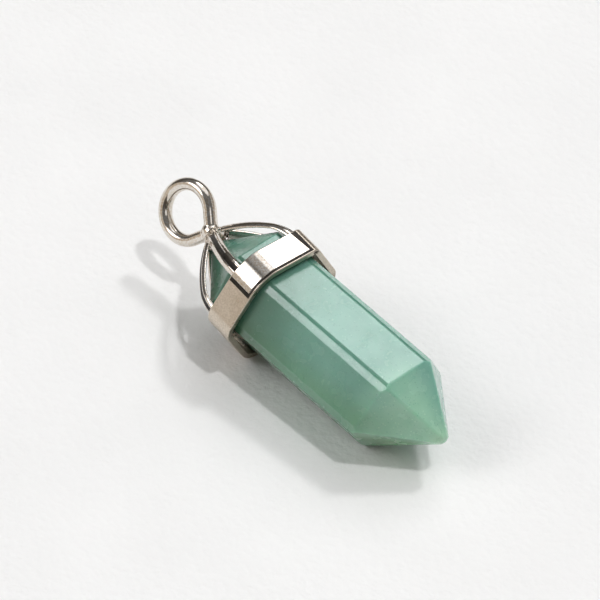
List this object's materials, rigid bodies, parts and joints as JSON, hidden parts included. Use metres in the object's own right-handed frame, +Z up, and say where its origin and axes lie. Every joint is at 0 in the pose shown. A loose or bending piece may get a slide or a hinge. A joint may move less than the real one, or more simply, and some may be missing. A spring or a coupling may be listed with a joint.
{
  "type": "crystal point pendant",
  "caption": "Hexagonal stone crystal, pointed at both ends, held in a silver-tone cap: a band round the stone and bowed arms that meet under a pear-shaped eye ring.",
  "frame": {"origin": "on the surface the pendant lies on, under the middle of its length and width", "axes": "+X along the pendant, from the eye ring toward the lower tip; +Z up from the surface; +Y to the left as the tip points right"},
  "size_m": [0.0389, 0.0134, 0.0123],
  "materials": {
    "aventurine": "polished, slightly translucent green quartz",
    "plated_metal": "bright silver-tone plating, satin in places"
  },
  "bodies": {
    "root": {"crystal_point": "aventurine", "bail_cap": "plated_metal"}
  },
  "joints": []
}
